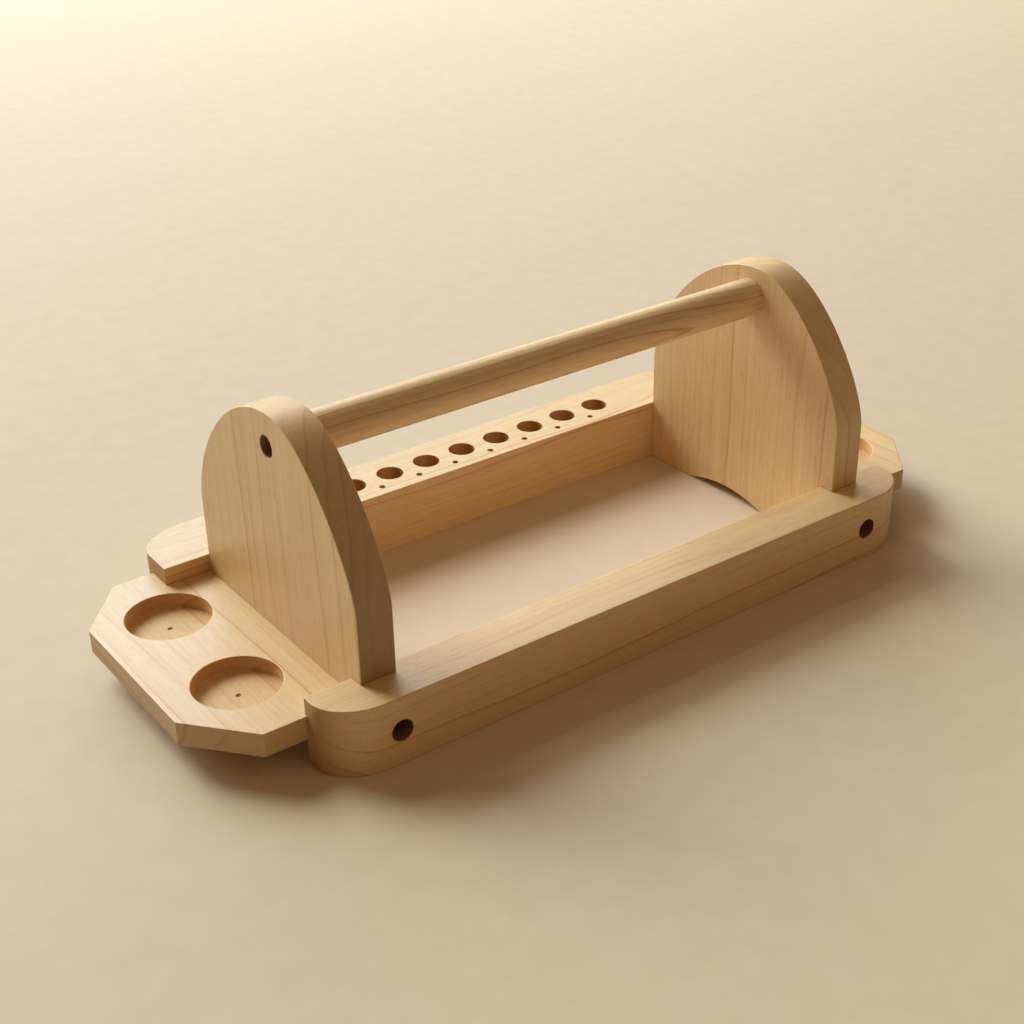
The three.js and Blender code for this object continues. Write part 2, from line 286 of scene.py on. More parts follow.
def ring_phase(tree, point, heart, ring_gap, lean, wander):
    """How many years lie between the heart line and this point, with the wander of a real trunk."""
    moved = pushed(tree, point, point, WANDER_SCALE, wander)
    moved = pushed(tree, moved, point, WOBBLE_SCALE, WOBBLE_MM)
    split = add(tree, "ShaderNodeSeparateXYZ", {0: moved})
    leaning = calculate(tree, "MULTIPLY", split.outputs[2], lean)
    across = calculate(tree, "ADD", split.outputs[0], leaning)
    dx = calculate(tree, "SUBTRACT", across, heart[0])
    dy = calculate(tree, "SUBTRACT", split.outputs[1], heart[1])
    dx_squared = calculate(tree, "MULTIPLY", dx, dx)
    dy_squared = calculate(tree, "MULTIPLY", dy, dy)
    radius = calculate(tree, "SQRT", calculate(tree, "ADD", dx_squared, dy_squared))
    return calculate(tree, "DIVIDE", radius, ring_gap)


print("slow wander over", round(1 / WANDER_SCALE[2]), "mm of grain")

# %% [markdown]
# ### Year lines
#
# Each year ends in a narrow band of dense late wood. A ramp draws it: pale for half the year, a
# slow rise, a sharp dark line and a quick fall. White noise gives every year its own strength, and
# squaring it leaves a few strong years among many faint ones.

# %% Year lines
YEAR_LINE = ((0.0, 0.0), (0.50, 0.06), (0.84, 0.26), (0.92, 1.0), (0.96, 0.60), (1.0, 0.0))
YEAR_SPREAD = 1.15
FAINTEST_YEAR = 0.12


def year_lines(tree, phase):
    """A dark line at the end of each year, strong in a few years and faint in most."""
    year = calculate(tree, "FLOOR", phase)
    within = calculate(tree, "FRACT", phase)
    chance = add(tree, "ShaderNodeTexWhiteNoise", {"W": year}, noise_dimensions="1D").outputs[0]
    luck = calculate(tree, "POWER", chance, 2.0)
    strength = calculate(tree, "MULTIPLY_ADD", luck, YEAR_SPREAD, FAINTEST_YEAR)
    return calculate(tree, "MULTIPLY", grey_ramp(tree, within, YEAR_LINE), strength)


print("year strength", FAINTEST_YEAR, "to", round(FAINTEST_YEAR + YEAR_SPREAD, 2))

# %% [markdown]
# ### Rubbed edges
#
# Handling rubs an edge paler and smoother. The Bevel node gives the direction that the surface
# would face if its edges were rounder. Where that differs from the true direction, there is an
# edge. The strands break the rubbed line up, so it never looks drawn.

# %% Rubbed edges
RUBBED_WIDTH = 0.0011
RUBBED_GAIN = 3.0


def rubbed_edges(tree, surface, strand):
    """One where the true surface and its softened copy disagree, broken up by the strands."""
    softened = add(tree, "ShaderNodeBevel", {"Radius": RUBBED_WIDTH}, samples=4).outputs[0]
    both = {0: softened, 1: surface}
    agree = add(tree, "ShaderNodeVectorMath", both, operation="DOT_PRODUCT").outputs["Value"]
    apart = calculate(tree, "SUBTRACT", 1.0, agree)
    worn = calculate(tree, "MULTIPLY", apart, RUBBED_GAIN, clamp=True)
    return calculate(tree, "MULTIPLY", worn, calculate(tree, "MULTIPLY_ADD", strand, 0.8, 0.1))


print("rubbed band", RUBBED_WIDTH * METRE_TO_MM, "mm wide")

# %% [markdown]
# ### The whole wood
#
# All the layers add up to one tone between pale and deep. The dark pores, the end grain, the rubbed
# edges and the sawn tint with its painted shade are blended over it, one after another; a drilled
# wall is then multiplied darker with painted shade. The fibres and pores also roughen the surface
# and lift it by about a tenth of a millimetre, so light breaks on it as on real wood.

# %% Wood recipe
FIBRE_SCALE = (1.5, 1.5, 0.022)
STRAND_SCALE = (0.42, 0.42, 0.006)
PATCH_SCALE = (0.022, 0.022, 0.006)
FLECK_SCALE = (2.6, 2.6, 0.11)
FIBRE_WEIGHT = 0.55
STRAND_WEIGHT = 0.50
PATCH_WEIGHT = 0.36
BASE_TONE = 0.22
PORE_CUT = ((0.0, 0.0), (0.60, 0.0), (0.72, 1.0))
PORE_DEPTH = 0.34
END_DEPTH = {"x": 0.9, "y": 0.5, "z": 0.2}
RUBBED_DEPTH = 0.3
PLANED_ROUGHNESS = 0.33
DRILLED_ROUGHNESS = 0.55
WOOD_SHINE = 0.8
RELIEF = {"Strength": 0.5, "Distance": 0.00012}


def wood(name, grain, heart, ring_gap, line, lean, wander=26, shade=None, sawn_and_shade=None):
    """A solid wood. heart is where the tree's centre line passes, across the grain, in millimetres.

    ring_gap is a year's growth in millimetres, and line says how dark its line is. shade is painted
    shade: it darkens wood that a drill has cut, as the hollow would be shaded. The last argument
    gives the axis that the planed faces look along, and how brown the edges between them are
    painted: partly a saw-cut tint, partly painted shade on faces turned away from the lamps.
    """
    material, tree, shader = new_material(name)
    point = grain_space(tree, grain)
    late = year_lines(tree, ring_phase(tree, point, heart, ring_gap, lean, wander))
    fibre = noise(tree, point, FIBRE_SCALE, 4.0, 0.65).outputs[0]
    strand = noise(tree, point, STRAND_SCALE, 3.0, 0.6).outputs[0]
    patch = noise(tree, point, PATCH_SCALE, 2.0).outputs[0]
    fleck = noise(tree, point, FLECK_SCALE, 1.0).outputs[0]
    pores = grey_ramp(tree, fleck, PORE_CUT)

    tone = calculate(tree, "MULTIPLY", late, line)
    layers = ((fibre, FIBRE_WEIGHT), (strand, STRAND_WEIGHT), (patch, PATCH_WEIGHT))
    for layer, weight in layers:
        centred = calculate(tree, "SUBTRACT", layer, 0.5)
        tone = calculate(tree, "MULTIPLY_ADD", centred, weight, tone)
    tone = calculate(tree, "ADD", tone, BASE_TONE, clamp=True)
    colour = blend_colour(tree, tone, PALE, DEEP)
    colour = blend_colour(tree, calculate(tree, "MULTIPLY", pores, PORE_DEPTH), colour, PORE)

    surface = add(tree, "ShaderNodeNewGeometry").outputs["Normal"]
    facing = add(tree, "ShaderNodeSeparateXYZ", {0: surface})
    along = calculate(tree, "ABSOLUTE", facing.outputs[grain.upper()])
    across_end = calculate(tree, "POWER", along, 2.0)
    end_depth = calculate(tree, "MULTIPLY", across_end, END_DEPTH[grain])
    colour = blend_colour(tree, end_depth, colour, END_GRAIN)
    rubbed = rubbed_edges(tree, surface, strand)
    colour = blend_colour(tree, calculate(tree, "MULTIPLY", rubbed, RUBBED_DEPTH), colour, RUBBED)
    # Painted shade: the edges between the planed faces are browned, partly as a saw cut is and
    # partly for the shade on faces turned from the lamps.
    if sawn_and_shade:
        planed_axis, edge_shade_depth = sawn_and_shade
        planed = calculate(tree, "ABSOLUTE", facing.outputs[planed_axis])
        off_face = calculate(tree, "SUBTRACT", 1.0, planed)
        side_grain = calculate(tree, "SUBTRACT", 1.0, across_end)
        shaded_edge = calculate(tree, "MULTIPLY", off_face, side_grain)
        colour = blend_colour(tree, calculate(tree, "MULTIPLY", shaded_edge, edge_shade_depth), colour, SAWN_AND_SHADE)
    # Painted shade: a drilled wall is multiplied darker, as the hollow it lines would be shaded.
    if shade:
        colour = blend_colour(tree, 1.0, colour, shade, "MULTIPLY")
    tree.links.new(colour, shader.inputs["Base Color"])

    smoothest = DRILLED_ROUGHNESS if shade else PLANED_ROUGHNESS
    rough = calculate(tree, "MULTIPLY_ADD", fibre, 0.22, smoothest)
    rough = calculate(tree, "MULTIPLY_ADD", across_end, 0.12, rough)
    rough = calculate(tree, "MULTIPLY_ADD", rubbed, -0.10, rough)
    tree.links.new(rough, shader.inputs["Roughness"])
    height = calculate(tree, "MULTIPLY_ADD", late, 0.1, calculate(tree, "MULTIPLY", fibre, 0.5))
    height = calculate(tree, "MULTIPLY_ADD", pores, -0.5, height)
    relief = add(tree, "ShaderNodeBump", {**RELIEF, "Height": height})
    tree.links.new(relief.outputs[0], shader.inputs["Normal"])
    shader.inputs["Specular IOR Level"].default_value = WOOD_SHINE
    return material


print("fibres", round(1 / FIBRE_SCALE[2]), "mm long, strands", round(1 / STRAND_SCALE[2]), "mm long")

# %% [markdown]
# ## Steel
#
# The screws are dull zinc-plated steel, deep in their counterbores, so only a glint of them shows.
# Fully metallic, with cloudy roughness and a few darker patches, is enough.

# %% Steel
DULL_ZINC = (0.30, 0.28, 0.25, 1)
BRIGHT_ZINC = (0.52, 0.50, 0.46, 1)
CLOUDS_PER_METRE = (900, 900, 900)
SCRATCHES_PER_METRE = (4000, 4000, 600)


def zinc(name):
    material, tree, shader = new_material(name)
    place = add(tree, "ShaderNodeTexCoord").outputs["Object"]
    cloud = noise(tree, place, CLOUDS_PER_METRE, 4.0, 0.6).outputs[0]
    scratch = noise(tree, place, SCRATCHES_PER_METRE, 2.0).outputs[0]
    colour = ramp(tree, cloud, [(0.3, DULL_ZINC), (0.7, BRIGHT_ZINC)])
    tree.links.new(colour, shader.inputs["Base Color"])
    tree.links.new(calculate(tree, "MULTIPLY_ADD", cloud, 0.3, 0.25), shader.inputs["Roughness"])
    relief = add(tree, "ShaderNodeBump", {"Strength": 0.4, "Distance": 0.00004, "Height": scratch})
    tree.links.new(relief.outputs[0], shader.inputs["Normal"])
    shader.inputs["Metallic"].default_value = 1.0
    return material


steel = zinc("zinc_steel")
print("made", steel.name)

# %% [markdown]
# ## Board-making helpers
#
# A board starts as a flat outline pulled to its thickness, as a saw and planer would leave it.
# Straight runs need only their end points; round runs come from arcs and curves with enough steps
# to look smooth. Holes are cut by boolean with turned drill shapes, and the drill carries its own
# wood with painted shade, which the boolean passes on to the walls it cuts.

# %% Outlines
def arc(centre, radii, start, end, steps=28):
    """Points on an ellipse from one angle to another, in degrees."""
    points = []
    for i in range(steps + 1):
        angle = math.radians(start + (end - start) * i / steps)
        across = centre[0] + radii[0] * math.cos(angle)
        up = centre[1] + radii[1] * math.sin(angle)
        points.append((across, up))
    return points


def pull(start, first, second, end, steps=40):
    """A smooth curve that leaves start towards first and reaches end from second."""
    points = []
    corners = (start, first, second, end)
    for i in range(steps + 1):
        t = i / steps
        weights = ((1 - t) ** 3, 3 * (1 - t) ** 2 * t, 3 * (1 - t) * t**2, t**3)
        points.append(tuple(sum(w * c[k] for w, c in zip(weights, corners)) for k in (0, 1)))
    return points


SAME_POINT = 1e-6


def no_repeats(points):
    kept = []
    for point in points:
        if not kept or math.dist(point, kept[-1]) > SAME_POINT:
            kept.append(point)
    if math.dist(kept[0], kept[-1]) < SAME_POINT:
        kept.pop()
    return kept


print("a quarter round has", len(arc((0, 0), (1, 1), 0, 90)), "points")

# %% [markdown]
# ## Boards and drills
#
# A board is its outline twice, with a face across each and a strip of faces between them. A drill
# is a profile turned round a line, like work on a lathe. Both are built point by point in bmesh,
# which keeps the faces as few and as flat as they can be. More sides are spent on wide rounds,
# where flats would show, than on narrow ones.

# %% Boards and drills
PEG_SIDES = 32
DRILL_SIDES = 48
HOLE_SIDES = 64
CUP_SIDES = 96
BAR_SIDES = 128
ON_AXIS = 1e-7


def mesh_object(name, made):
    bmesh.ops.recalc_face_normals(made, faces=made.faces)
    mesh = bpy.data.meshes.new(name)
    made.to_mesh(mesh)
    made.free()
    piece = bpy.data.objects.new(name, mesh)
    bpy.context.scene.collection.objects.link(piece)
    return piece


def board(name, outline, low, high, along="z"):
    """Pulls an outline to a thickness: along z the outline is (x, y), along x it is (y, z)."""
    def lift(point, depth):
        return (*point, depth) if along == "z" else (depth, *point)

    made = bmesh.new()
    outline = no_repeats(outline)
    below = [made.verts.new(lift(p, low)) for p in outline]
    above = [made.verts.new(lift(p, high)) for p in outline]
    made.faces.new(below)
    made.faces.new(above)
    for i in range(len(outline)):
        j = (i + 1) % len(outline)
        made.faces.new((below[i], below[j], above[j], above[i]))
    return mesh_object(name, made)


def turned(name, profile, place, direction, sides):
    """A turned solid: profile is (radius, distance along direction) from one end to the other."""
    made = bmesh.new()
    rings = []
    for radius, along in profile:
        if radius < ON_AXIS:
            rings.append([made.verts.new((0, 0, along))])
            continue
        ring = []
        for i in range(sides):
            angle = 2 * math.pi * i / sides
            point = (radius * math.cos(angle), radius * math.sin(angle), along)
            ring.append(made.verts.new(point))
        rings.append(ring)
    for lower, upper in zip(rings, rings[1:]):
        for i in range(sides):
            j = (i + 1) % sides
            below = [lower[i % len(lower)], lower[j % len(lower)]]
            above = [upper[j % len(upper)], upper[i % len(upper)]]
            made.faces.new(list(dict.fromkeys(below + above)))
    for ring in (rings[0], rings[-1]):
        if len(ring) > 2:
            made.faces.new(ring)
    aim = Vector(direction).to_track_quat("Z", "Y").to_matrix().to_4x4()
    made.transform(Matrix.Translation(Vector(place)) @ aim)
    return mesh_object(name, made)


def block(name, low, high):
    outline = [(low[0], low[1]), (high[0], low[1]), (high[0], high[1]), (low[0], high[1])]
    return board(name, outline, low[2], high[2])


print("sides: drill", DRILL_SIDES, "hole", HOLE_SIDES, "cup", CUP_SIDES, "bar", BAR_SIDES)

# %% [markdown]
# ## Cutting and easing
#
# The cutters that leave the same wood behind are joined to one mesh and subtracted in one go, which
# keeps the walls clean. Then a Bevel modifier eases every sharp edge by about half a millimetre, as
# a quick pass with fine paper does, and a Weighted Normal keeps the big faces flat in the light.
# The bar's sockets and the marks in the cups are cut after the easing, so their rims stay crisp.

# %% Cutting and easing
EASE = 0.0006
FINE_EASE = 0.00045
BAR_EASE = 0.0003
EASE_STEPS = 3
SHARP_ANGLE = math.radians(32)
FLATTEN_WEIGHT = 100


def carve(piece, cutters, bored_wood):
    """Subtracts the cutters, and gives the walls they leave the bored wood."""
    joined = bmesh.new()
    for cutter in cutters:
        joined.from_mesh(cutter.data)
        bpy.data.objects.remove(cutter)
    tool = mesh_object(piece.name + "_cutters", joined)
    tool.data.materials.append(bored_wood)
    cut = piece.modifiers.new("cut", "BOOLEAN")
    cut.operation = "DIFFERENCE"
    cut.solver = "EXACT"
    cut.material_mode = "TRANSFER"
    cut.object = tool
    bpy.context.view_layer.update()
    seen = piece.evaluated_get(bpy.context.evaluated_depsgraph_get())
    piece.data = bpy.data.meshes.new_from_object(seen)
    piece.modifiers.clear()
    bpy.data.objects.remove(tool)


def ease(piece, width=EASE):
    piece.data.shade_smooth()
    edges = piece.modifiers.new("eased_edges", "BEVEL")
    edges.width = width
    edges.segments = EASE_STEPS
    edges.limit_method = "ANGLE"
    edges.angle_limit = SHARP_ANGLE
    edges.use_clamp_overlap = False
    flatten(piece)


def flatten(piece):
    level = piece.modifiers.new("flat_faces", "WEIGHTED_NORMAL")
    level.keep_sharp = False
    level.weight = FLATTEN_WEIGHT


def settle(piece, node):
    """Puts a finished piece on the frame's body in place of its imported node."""
    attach(piece, "root")
    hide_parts(node)
    print(piece.name, "stands for", node, "with", len(piece.data.polygons), "faces")


print("edges eased by", EASE * METRE_TO_MM, "mm, small ones by", FINE_EASE * METRE_TO_MM, "mm")

# %% [markdown]
# ## Where things are
#
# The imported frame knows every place: a screw's node says where its hole goes, and the stated
# openings say where the rail's holes and the trays' cups are centred. Only sizes that the boxes
# can't give, such as a drill's radius, are written in the cells below.

# %% Places from the frame
MM = 0.001
SIDES = {"left": -1, "right": 1}
stated = frame["record"]["physics"]["openings"]
openings = {opening["name"]: [Vector(corner) for corner in opening["box_m"]] for opening in stated}
front_low, front_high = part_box("front_rail")
back_low, back_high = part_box("back_rail")
panel_low, panel_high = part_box("right_end_panel")
bar_low, bar_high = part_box("top_bar")
tray_low, tray_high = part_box("right_tray")

RAIL_END = front_high.x
RAIL_TOP = front_high.z
FRONT_INNER = front_high.y
BACK_INNER = back_low.y
PANEL_INNER = panel_low.x
PANEL_OUTER = panel_high.x
bar_centre = (bar_low + bar_high) / 2
bar_radius = (bar_high.z - bar_low.z) / 2
PAST = 1 * MM
print("bar radius", round(bar_radius / MM, 2), "mm, at height", round(bar_centre.z / MM, 2), "mm")


def middle(name):
    low, high = openings[name]
    return (low + high) / 2

# %% [markdown]
# ## Screw holes
#
# A screw's box tells its direction, the longest side, and its two ends. The head is at the end
# nearer the outside. One stepped drill makes the whole hole: a wide counterbore down to the seat,
# then a narrow hole for the shank, slightly wider than the thread.

# %% Screws and their drills
COUNTERBORE = 5.5 * MM
SHANK = 2.0 * MM
HEAD_RADIUS = 4.2 * MM
HEAD_HEIGHT = 2.8 * MM
CLEARANCE = 0.3 * MM
SCREW_DRIVES = {"front": Vector((0, 1, 0)), "back": Vector((0, -1, 0))}


def screw_line(side, place):
    """Where the underside of the head sits, the driving direction and the length below the head."""
    low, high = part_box(f"{side}_{place}_screw")
    drive = SCREW_DRIVES.get(place) or Vector((-SIDES[side], 0, 0))
    centre = (low + high) / 2
    reach = abs((high - low).dot(drive)) / 2
    seat = centre - drive * (reach - HEAD_HEIGHT)
    return seat, drive, 2 * reach - HEAD_HEIGHT


def screw_drill(side, place, outside):
    """One cutter for counterbore and shank. outside is how far the seat is below the wood's face."""
    seat, drive, length = screw_line(side, place)
    profile = [(COUNTERBORE, -outside - PAST), (COUNTERBORE, 0)]
    profile += [(SHANK + CLEARANCE, 0), (SHANK + CLEARANCE, length + CLEARANCE)]
    return turned("drill", profile, seat, drive, DRILL_SIDES)


def shank_drill(side, place):
    seat, drive, length = screw_line(side, place)
    hole = SHANK + CLEARANCE
    profile = [(hole, 0), (hole, length + CLEARANCE)]
    return turned("drill", profile, seat, drive, DRILL_SIDES)


for side in SIDES:
    for place in ("front", "back", "bar"):
        seat, _, length = screw_line(side, place)
        print(side, place, "screw seat", [round(v / MM, 1) for v in seat])
        print("  length below the head", round(length / MM, 1), "mm")

# %% [markdown]
# ## The woods
#
# All the boards are the same pale timber, but each comes from its own place in the tree. The heart
# line's distance sets the figure: far away gives straight, even lines, and close by gives arches.
#
# Where a drill has been, the wood keeps the figure of its board but gets painted shade: a touch in
# the cups, more in the tool holes, where the drilled wood is also a little darker, and close to
# black in the deep, narrow screw holes.

# %% The woods
# Tool-hole walls: drilled wood a little darker, plus painted shade in the hollow.
BORED_AND_SHADED = (0.84, 0.70, 0.56, 1)
# Painted shadow, close to black, for deep, narrow screw holes and the panels' holes.
HOLE_SHADOW = (0.36, 0.27, 0.20, 1)
# Painted shade for the cups' floors and walls.
CUP = (0.93, 0.88, 0.80, 1)
# Painted shade for the small pit that the bit's point leaves.
MARK_SHADE = (0.58, 0.46, 0.34, 1)

# The left panel's front edge faces away from the lamps, so its edges get far more painted shade than
# the right panel's; the trays' edges get some too.
panel_woods = {
    "left": wood("left_panel_wood", "z", (80, -200), 8.5, 0.88, 0.014, sawn_and_shade=("X", 0.64)),
    "right": wood("right_panel_wood", "z", (350, 220), 11.0, 0.68, -0.010, sawn_and_shade=("X", 0.16)),
}
front_wood = wood("front_rail_wood", "x", (-28, -62), 5.4, 1.0, 0.012)
back_wood = wood("back_rail_wood", "x", (150, -90), 6.0, 0.85, 0.010)
bar_wood = wood("bar_wood", "x", (-46, 119), 2.9, 1.25, 0.028, 22)
tray_woods = {
    "left": wood("left_tray_wood", "y", (40, -70), 9.0, 0.92, 0.02, sawn_and_shade=("Z", 0.42)),
    "right": wood("right_tray_wood", "y", (-30, -80), 9.5, 0.78, -0.012, sawn_and_shade=("Z", 0.42)),
}
# The panels' holes get painted shadow, close to black.
panel_hole_shade = wood("panel_hole_shade_wood", "z", (80, -200), 8.5, 0.5, 0.014, shade=HOLE_SHADOW)
# Back-rail holes and the bar's pilot holes: drilled wood plus painted shade.
bored_shaded_rail = wood("bored_shaded_rail_wood", "x", (150, -90), 7.0, 0.45, 0.010, shade=BORED_AND_SHADED)
# The cups get painted shade, a touch darker than the tray's top.
shaded_cup_woods = {
    "left": wood("left_shaded_cup_wood", "y", (40, -70), 9.0, 0.70, 0.02, shade=CUP),
    "right": wood("right_shaded_cup_wood", "y", (-30, -80), 9.5, 0.62, -0.012, shade=CUP),
}
# The marks in the cups get painted shade, so each shows as a soft brown dot.
cup_mark_shade_wood = wood("cup_mark_shade_wood", "y", (40, -70), 9.0, 0.5, 0.02, shade=MARK_SHADE)
# The rails' screw holes and grooves get painted shadow, close to black.
screw_hole_shade = wood("screw_hole_shade_wood", "x", (-28, -62), 6.5, 0.45, 0.010, shade=HOLE_SHADOW)
print(len(bpy.data.materials), "materials")

# %% [markdown]
# ## The rails
#
# Each rail is a straight board whose two outer corners are sawn to a long round. The outline is
# drawn once for the outer side's direction and serves both rails. A groove in each end takes the
# edge of a tray, and it stops where the end panel stands.

# %% Rail outline and grooves
ROUND_X = 27.5 * MM
ROUND_Y = 21.5 * MM


def rail_outline(inner, outer):
    out = 1 if outer > inner else -1
    turn_y = outer - out * ROUND_Y
    outline = [(-RAIL_END, inner)]
    outline += arc((-RAIL_END + ROUND_X, turn_y), (ROUND_X, out * ROUND_Y), 180, 90)
    outline += arc((RAIL_END - ROUND_X, turn_y), (ROUND_X, out * ROUND_Y), 90, 0)
    outline += [(RAIL_END, inner)]
    return outline


def tray_grooves(low_y, high_y):
    """The two end grooves that take the trays, open at the rail's ends."""
    right_low = (PANEL_OUTER, low_y, tray_low.z)
    right_high = (RAIL_END + PAST, high_y, tray_high.z)
    left_low = (-RAIL_END - PAST, low_y, tray_low.z)
    left_high = (-PANEL_OUTER, high_y, tray_high.z)
    return [block("groove", right_low, right_high), block("groove", left_low, left_high)]


print("a rail's outline has", len(rail_outline(FRONT_INNER, front_low.y)), "points")

# %% [markdown]
# ## The front rail
#
# The plain rail in front takes a groove and a screw at each end. A screw hole this deep and narrow
# reads as almost black, so its walls get painted shadow, close to black.

# %% Front rail
front_rail = board("front_rail_board", rail_outline(FRONT_INNER, front_low.y), front_low.z, RAIL_TOP)
front_rail.data.materials.append(front_wood)
cutters = tray_grooves(tray_low.y, FRONT_INNER + PAST)
for side in SIDES:
    seat = screw_line(side, "front")[0]
    cutters.append(screw_drill(side, "front", seat.y - front_low.y))
carve(front_rail, cutters, screw_hole_shade)
ease(front_rail)
settle(front_rail, "front_rail")

# %% [markdown]
# ## The drilled back rail
#
# Its row of wide blind holes takes tools or bobbins, and a small peg hole sits in front of each gap
# between them. The wide holes' centres come from the stated openings. Each drill shape ends in the
# flat floor that a saw-tooth bit leaves, with a small dimple from the bit's point.

# %% Back rail
HOLE_RADIUS = 7.5 * MM
HOLE_DEPTH = 24 * MM
PEG_RADIUS = 1.6 * MM
PEG_DEPTH = 12 * MM
PEG_INSET = 8 * MM
POINT_RADIUS = 1.4 * MM
POINT_DEPTH = 1.0 * MM
DOWN = (0, 0, -1)

back_rail = board("back_rail_board", rail_outline(BACK_INNER, back_high.y), back_low.z, RAIL_TOP)
back_rail.data.materials.append(back_wood)
cutters = tray_grooves(BACK_INNER - PAST, tray_high.y)
screw_cutters = []
for side in SIDES:
    seat = screw_line(side, "back")[0]
    screw_cutters.append(screw_drill(side, "back", back_high.y - seat.y))
# The back rail's screw holes get painted shadow.
carve(back_rail, screw_cutters, screw_hole_shade)
centres = sorted(middle(name).x for name in openings if name.startswith("rail_hole"))
row_y = middle("rail_hole_1").y
for x in centres:
    profile = [(HOLE_RADIUS, -PAST), (HOLE_RADIUS, HOLE_DEPTH)]
    profile += [(POINT_RADIUS, HOLE_DEPTH), (0, HOLE_DEPTH + POINT_DEPTH)]
    cutters.append(turned("drill", profile, (x, row_y, RAIL_TOP), DOWN, HOLE_SIDES))
for first, second in zip(centres, centres[1:]):
    peg_place = ((first + second) / 2, BACK_INNER + PEG_INSET, RAIL_TOP)
    profile = [(PEG_RADIUS, -PAST), (PEG_RADIUS, PEG_DEPTH)]
    cutters.append(turned("drill", profile, peg_place, DOWN, PEG_SIDES))
# The tool and peg holes get painted shade over the drilled wood's own tone.
carve(back_rail, cutters, bored_shaded_rail)
ease(back_rail, FINE_EASE)
settle(back_rail, "back_rail")
print(len(centres), "tool holes, pitch", round((centres[1] - centres[0]) / MM, 2), "mm")

# %% [markdown]
# ## The end panels
#
# Each panel stands between the rails on two feet, with a low arch between them. A shoulder reaches
# over the front rail. Above it the edge climbs in a long, flat curve to the apex and comes down the
# back in a rounder one. Two pulled curves draw that with four numbers each, and they share a level
# tangent at the apex, so no corner shows there.

# %% Panel outline
APEX_Y = FRONT_INNER + 59 * MM
FRONT_STRAIGHT = 70 * MM
BACK_STRAIGHT = 68 * MM
FRONT_PULL = (32.5 * MM, 21 * MM)
BACK_PULL = (45.5 * MM, 28.5 * MM)
ARCH_Y = FRONT_INNER + 74 * MM
ARCH_HALF = 30 * MM
ARCH_RISE = 5.5 * MM


def panel_outline():
    shoulder = panel_low.y
    top = panel_high.z
    radius = (ARCH_RISE**2 + ARCH_HALF**2) / (2 * ARCH_RISE)
    spread = math.degrees(math.asin(ARCH_HALF / radius))
    outline = [(FRONT_INNER, 0)]
    outline += arc((ARCH_Y, ARCH_RISE - radius), (radius, radius), 90 + spread, 90 - spread)
    outline += [(BACK_INNER, 0)]
    outline += pull(
        (BACK_INNER, BACK_STRAIGHT),
        (BACK_INNER, BACK_STRAIGHT + BACK_PULL[1]),
        (APEX_Y + BACK_PULL[0], top),
        (APEX_Y, top),
    )
    outline += pull(
        (APEX_Y, top),
        (APEX_Y - FRONT_PULL[0], top),
        (shoulder, FRONT_STRAIGHT + FRONT_PULL[1]),
        (shoulder, FRONT_STRAIGHT),
    )
    outline += [(shoulder, RAIL_TOP), (FRONT_INNER, RAIL_TOP)]
    return outline


print("a panel's outline has", len(panel_outline()), "points")

# %% [markdown]
# ## Drilling the end panels
#
# From outside, one stepped hole takes the screw that holds the bar. Both feet get a screw hole and
# the outer face gets two pin holes for the tray. The blind socket for the bar is cut last, after
# the edges are eased, so that it stays as snug round the bar as the real one has to be.

# %% End panels
PIN_CLEARANCE = 0.3 * MM
SNUG = 0.05 * MM


def pin_drill(side, place):
    low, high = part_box(f"{side}_tray_{place}_pin")
    centre = (low + high) / 2
    radius = (high.z - low.z) / 2 + PIN_CLEARANCE
    half = (high.x - low.x) / 2 + PIN_CLEARANCE
    return turned("drill", [(radius, -half), (radius, half)], centre, (1, 0, 0), DRILL_SIDES)


for side, sign in SIDES.items():
    low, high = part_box(f"{side}_end_panel")
    panel = board(f"{side}_end_panel_board", panel_outline(), low.x, high.x, "x")
    panel.data.materials.append(panel_woods[side])
    seat, drive = screw_line(side, "bar")[:2]
    bar_end = bar_high.x if sign > 0 else bar_low.x
    socket_depth = sign * bar_end - PANEL_INNER
    face_to_seat = abs(sign * PANEL_OUTER - seat.x)
    thickness = PANEL_OUTER - PANEL_INNER
    through = [
        (COUNTERBORE, -face_to_seat - PAST),
        (COUNTERBORE, 0),
        (SHANK + CLEARANCE, 0),
        (SHANK + CLEARANCE, thickness - face_to_seat - socket_depth / 2),
    ]
    cutters = [turned("drill", through, seat, drive, HOLE_SIDES)]
    cutters += [shank_drill(side, "front"), shank_drill(side, "back")]
    cutters += [pin_drill(side, "front"), pin_drill(side, "back")]
    # The panel's screw and pin holes, and then its socket, get painted shadow.
    carve(panel, cutters, panel_hole_shade)
    ease(panel)
    inner = thickness - face_to_seat
    socket = [(bar_radius + SNUG, inner - socket_depth), (bar_radius + SNUG, inner + PAST)]
    carve(panel, [turned("drill", socket, seat, drive, BAR_SIDES)], panel_hole_shade)
    flatten(panel)
    settle(panel, f"{side}_end_panel")

# %% [markdown]
# ## The bar
#
# A turned dowel with lightly chamfered ends, each in a blind socket and held by one screw on its
# axis. Its own drill makes the two pilot holes.

# %% Bar
CHAMFER = 0.8 * MM

half = (bar_high.x - bar_low.x) / 2
profile = [
    (bar_radius - CHAMFER, -half),
    (bar_radius, -half + CHAMFER),
    (bar_radius, half - CHAMFER),
    (bar_radius - CHAMFER, half),
]
bar = turned("top_bar_dowel", profile, bar_centre, (1, 0, 0), BAR_SIDES)
bar.data.materials.append(bar_wood)
# The pilot holes get the same drilled tone and painted shade.
carve(bar, [shank_drill(side, "bar") for side in SIDES], bored_shaded_rail)
ease(bar, BAR_EASE)
settle(bar, "top_bar")

# %% [markdown]
# ## The trays
#
# A tray is a short board with its outer corners cut off. Two wide cups are sunk in its top by a
# large bit, whose point leaves a small mark in the middle of each floor. The cups and the marks
# get painted shade.

